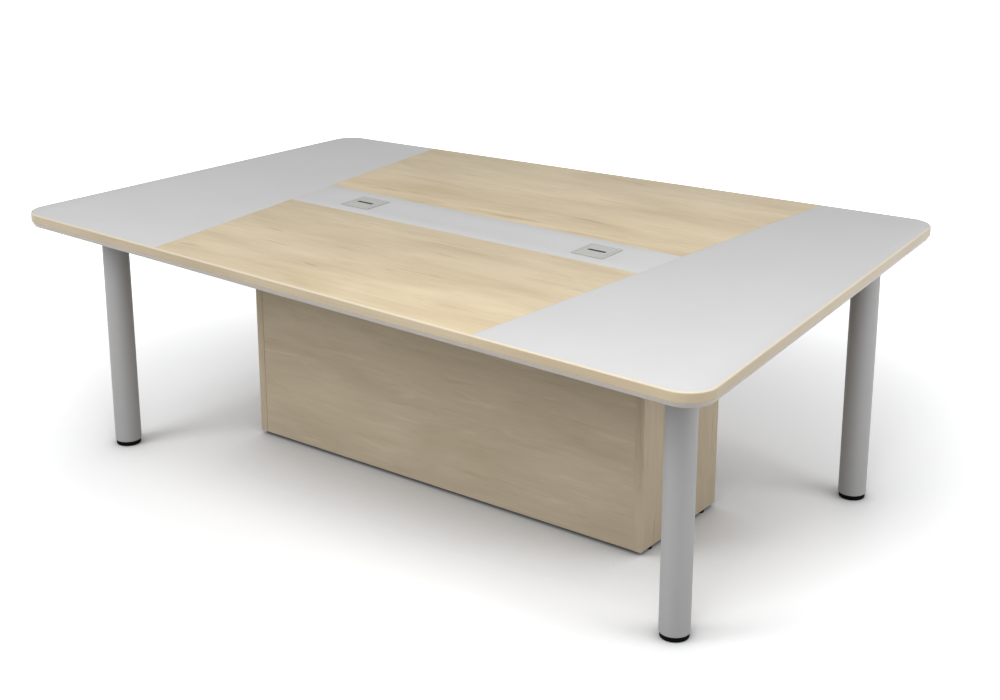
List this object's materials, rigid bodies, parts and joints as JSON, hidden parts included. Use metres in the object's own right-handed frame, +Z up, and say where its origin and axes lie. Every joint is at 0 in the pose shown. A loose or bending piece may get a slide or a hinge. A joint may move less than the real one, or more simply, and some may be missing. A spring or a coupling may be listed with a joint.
{
  "type": "conference table",
  "caption": "Conference table with a five-panel wood and grey top, wood edge banding, flip-up cable ports, round silver legs on levelling feet and a hollow wood cable pedestal.",
  "frame": {"origin": "on the floor, under the middle of the top's box", "axes": "+X along the table, +Y towards the rear edge, +Z up"},
  "size_m": [2.3244, 1.5698, 0.752],
  "materials": {
    "grey_laminate": "pale grey matt laminate on board",
    "wood_laminate": "light oak laminate with grain along the table",
    "wood_band": "light oak edge banding with a rounded upper arris",
    "grey_carrier": "grey faced board with a bevelled edge",
    "port_plastic": "grey moulded plastic",
    "silver_paint": "silver-grey powder coat",
    "black_plastic": "black moulded plastic",
    "bare_steel": "bright plated steel",
    "pedestal_wood": "light oak laminate on board",
    "inner_board": "plain light board inside the pedestal"
  },
  "bodies": {
    "table": {"end_panel_left": "grey_laminate", "end_panel_right": "grey_laminate", "centre_strip": "grey_laminate", "wood_panel_front": "wood_laminate", "wood_panel_rear": "wood_laminate", "edge_band_left": "wood_band", "edge_band_right": "wood_band", "edge_band_front": "wood_band", "edge_band_rear": "wood_band", "carrier_board": "grey_carrier", "port_frame_left": "port_plastic", "port_frame_right": "port_plastic", "port_pin_left": "bare_steel", "port_pin_right": "bare_steel", "leg_tube_front_left": "silver_paint", "leg_tube_front_right": "silver_paint", "leg_tube_rear_left": "silver_paint", "leg_tube_rear_right": "silver_paint", "leg_plate_front_left": "silver_paint", "leg_plate_front_right": "silver_paint", "leg_plate_rear_left": "silver_paint", "leg_plate_rear_right": "silver_paint", "leg_plug_front_left": "black_plastic", "leg_plug_front_right": "black_plastic", "leg_plug_rear_left": "black_plastic", "leg_plug_rear_right": "black_plastic", "pedestal_end_left": "pedestal_wood", "pedestal_end_right": "pedestal_wood", "pedestal_panel_front": "pedestal_wood", "pedestal_panel_rear": "pedestal_wood", "pedestal_rail_front": "inner_board", "pedestal_rail_rear": "inner_board", "pedestal_floor": "inner_board", "pedestal_divider": "inner_board", "pedestal_insert_front_left": "bare_steel", "pedestal_insert_front_right": "bare_steel", "pedestal_insert_rear_left": "bare_steel", "pedestal_insert_rear_right": "bare_steel"},
    "lid_left": {"port_lid_left": "port_plastic"},
    "lid_right": {"port_lid_right": "port_plastic"},
    "foot_front_left": {"leg_foot_front_left": "black_plastic"},
    "foot_front_right": {"leg_foot_front_right": "black_plastic"},
    "foot_rear_left": {"leg_foot_rear_left": "black_plastic"},
    "foot_rear_right": {"leg_foot_rear_right": "black_plastic"},
    "glide_front_left": {"pedestal_glide_front_left": "black_plastic"},
    "glide_front_right": {"pedestal_glide_front_right": "black_plastic"},
    "glide_rear_left": {"pedestal_glide_rear_left": "black_plastic"},
    "glide_rear_right": {"pedestal_glide_rear_right": "black_plastic"}
  },
  "joints": [
    {"name": "lid_left_hinge", "type": "hinge", "parent": "table", "child": "lid_left", "pos_m": [-0.41539, 0.00442, 0.749], "axis": [-1, 0, 0], "range_deg": [0, 90]},
    {"name": "lid_right_hinge", "type": "hinge", "parent": "table", "child": "lid_right", "pos_m": [0.40861, 0.00442, 0.749], "axis": [-1, 0, 0], "range_deg": [0, 90]},
    {"name": "foot_front_left_level", "type": "slide", "parent": "table", "child": "foot_front_left", "axis": [0, 0, -1], "range_m": [0, 0.015]},
    {"name": "foot_front_right_level", "type": "slide", "parent": "table", "child": "foot_front_right", "axis": [0, 0, -1], "range_m": [0, 0.015]},
    {"name": "foot_rear_left_level", "type": "slide", "parent": "table", "child": "foot_rear_left", "axis": [0, 0, -1], "range_m": [0, 0.015]},
    {"name": "foot_rear_right_level", "type": "slide", "parent": "table", "child": "foot_rear_right", "axis": [0, 0, -1], "range_m": [0, 0.015]},
    {"name": "glide_front_left_level", "type": "slide", "parent": "table", "child": "glide_front_left", "axis": [0, 0, -1], "range_m": [0, 0.01]},
    {"name": "glide_front_right_level", "type": "slide", "parent": "table", "child": "glide_front_right", "axis": [0, 0, -1], "range_m": [0, 0.01]},
    {"name": "glide_rear_left_level", "type": "slide", "parent": "table", "child": "glide_rear_left", "axis": [0, 0, -1], "range_m": [0, 0.01]},
    {"name": "glide_rear_right_level", "type": "slide", "parent": "table", "child": "glide_rear_right", "axis": [0, 0, -1], "range_m": [0, 0.01]}
  ]
}
